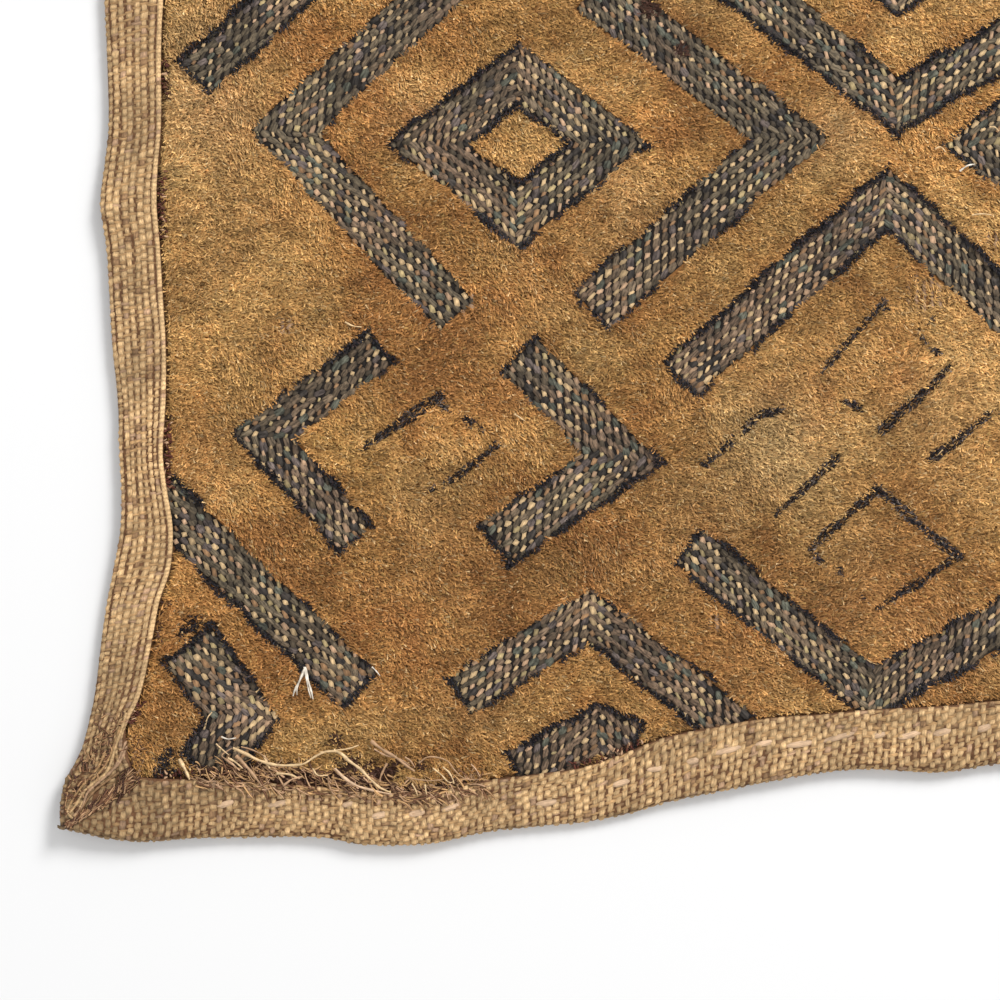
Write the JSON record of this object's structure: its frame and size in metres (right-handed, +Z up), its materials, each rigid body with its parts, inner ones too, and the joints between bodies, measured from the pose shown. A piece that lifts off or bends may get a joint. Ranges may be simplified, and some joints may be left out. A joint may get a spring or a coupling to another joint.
{
  "type": "hemmed raffia cut-pile cloth panel",
  "caption": "Raffia panel laid flat face up: cut pile with flat-stitched chevrons and ring diamonds sunk into it, and a hem turned over the face all round.",
  "frame": {"origin": "middle of the underside, where the panel lies on the surface", "axes": "+Z up out of the pile face, +X to the right and +Y up the panel as the picture shows it, with the pictured corner at -X -Y"},
  "size_m": [0.5158, 0.5546, 0.0046],
  "materials": {
    "raffia": "dry, matt cut raffia pile with plain-woven edges"
  },
  "bodies": {
    "root": {"hemmed_panel": "raffia"}
  },
  "joints": []
}
